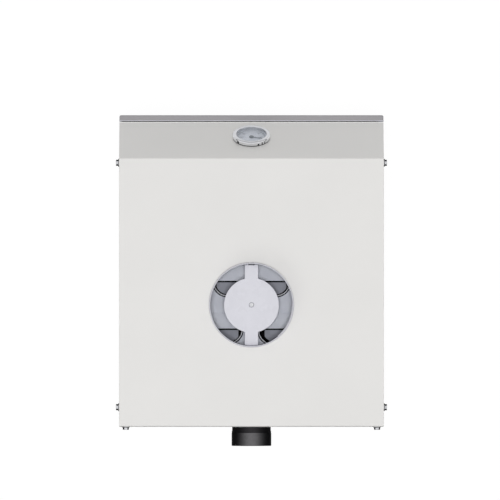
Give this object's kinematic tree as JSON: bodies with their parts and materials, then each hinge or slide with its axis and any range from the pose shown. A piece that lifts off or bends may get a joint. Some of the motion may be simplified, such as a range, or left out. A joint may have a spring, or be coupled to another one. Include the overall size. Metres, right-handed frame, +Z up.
{
  "type": "floor-standing gas boiler",
  "caption": "White floor-standing gas boiler with a sloped front, dial thermometer, top flue spigot, rear water pipes and a hinged front door.",
  "frame": {"origin": "on the floor, under the middle of the plan outline", "axes": "+Z up, front towards -Y, +X to the right seen from the front"},
  "size_m": [0.4094, 0.5002, 0.74],
  "materials": {
    "white_sheet": "white powder-coated steel sheet",
    "grey_sheet": "grey powder-coated steel sheet",
    "zinc_sheet": "galvanised steel sheet",
    "bright_steel": "bright zinc-plated or chromed steel",
    "raw_steel": "mill-finish boiler steel",
    "dark_steel": "dark primed boiler steel",
    "black_paint": "black heat-resistant paint",
    "aluminium_casting": "die-cast aluminium",
    "brass": "machined brass",
    "copper": "drawn copper tube",
    "black_plastic": "moulded black plastic",
    "red_plastic": "moulded red plastic",
    "ceramic": "glazed ceramic and silicone-covered lead",
    "clear_glass": "clear glass",
    "wool": "mineral wool board",
    "foil_wool": "mineral wool board faced with foil",
    "dial_paint": "printed aluminium dial",
    "pointer_paint": "dark enamelled brass"
  },
  "bodies": {
    "boiler": {"base_tray": "zinc_sheet", "feet": "black_plastic", "side_panel_left": "white_sheet", "side_panel_right": "white_sheet", "rear_panel": "white_sheet", "top_cover": "white_sheet", "front_rail": "zinc_sheet", "hinge_brackets": "raw_steel", "hinge_pins": "bright_steel", "magnet_catches": "black_plastic", "cover_screws": "bright_steel", "thermometer_case": "zinc_sheet", "thermometer_bezel": "bright_steel", "thermometer_dial": "dial_paint", "thermometer_glass": "clear_glass", "thermometer_clamp": "zinc_sheet", "clamp_nut": "bright_steel", "thermometer_capillary": "copper", "flue_spigot": "zinc_sheet", "smoke_hood": "zinc_sheet", "draught_deflector": "zinc_sheet", "deflector_stud": "zinc_sheet", "spill_sensor": "black_plastic", "outer_shell": "dark_steel", "bottom_ring": "dark_steel", "firebox": "dark_steel", "lower_tube_plate": "raw_steel", "upper_tube_plate": "raw_steel", "smoke_tubes": "raw_steel", "turbulators": "raw_steel", "flow_pipe": "black_paint", "return_pipe": "black_paint", "sensor_pockets": "brass", "jacket_insulation": "wool", "front_insulation": "foil_wool", "exchanger_stand": "zinc_sheet", "burner_plate": "zinc_sheet", "burner_tubes": "raw_steel", "gas_rail": "raw_steel", "injectors": "brass", "pilot_burner": "aluminium_casting", "thermocouple": "copper", "spark_electrode": "ceramic", "sight_glass": "clear_glass", "sight_flap_pin": "bright_steel", "gas_valve": "aluminium_casting", "igniter_bracket": "zinc_sheet", "igniter_body": "black_plastic", "gas_pipe": "brass", "thermostat_capillary": "copper"},
    "door": {"door_shell": "grey_sheet", "door_liner": "zinc_sheet", "door_pull": "black_plastic", "door_hinge_lugs": "raw_steel"},
    "pointer": {"thermometer_pointer": "pointer_paint"},
    "flap": {"sight_flap": "raw_steel"},
    "knob_bush": {"spindle_bush": "brass"},
    "knob": {"valve_spindle": "bright_steel", "control_knob": "black_plastic"},
    "igniter_key": {"igniter_button": "red_plastic"}
  },
  "joints": [
    {"name": "door_hinge", "type": "hinge", "parent": "boiler", "child": "door", "pos_m": [-0.195, -0.24525, 0.317], "axis": [0, 0, -1], "range_deg": [0, 95]},
    {"name": "pointer_sweep", "type": "hinge", "parent": "boiler", "child": "pointer", "pos_m": [0, -0.21605, 0.6447], "axis": [0, -0.8743, 0.4853], "range_deg": [-209.25, 60.75]},
    {"name": "flap_swing", "type": "hinge", "parent": "boiler", "child": "flap", "pos_m": [-0.06, -0.13325, 0.15], "axis": [0, -1, 0], "range_deg": [-100, 100]},
    {"name": "knob_turn", "type": "hinge", "parent": "boiler", "child": "knob_bush", "pos_m": [0, -0.20725, 0.1975], "axis": [0, -1, 0], "range_deg": [0, 240]},
    {"name": "knob_press", "type": "slide", "parent": "knob_bush", "child": "knob", "axis": [0, 1, 0], "range_m": [0, 0.003], "stiffness_N_per_m": 600, "springref_m": -0.002},
    {"name": "igniter_press", "type": "slide", "parent": "boiler", "child": "igniter_key", "axis": [0, 1, 0], "range_m": [0, 0.006], "stiffness_N_per_m": 400, "springref_m": -0.002}
  ]
}
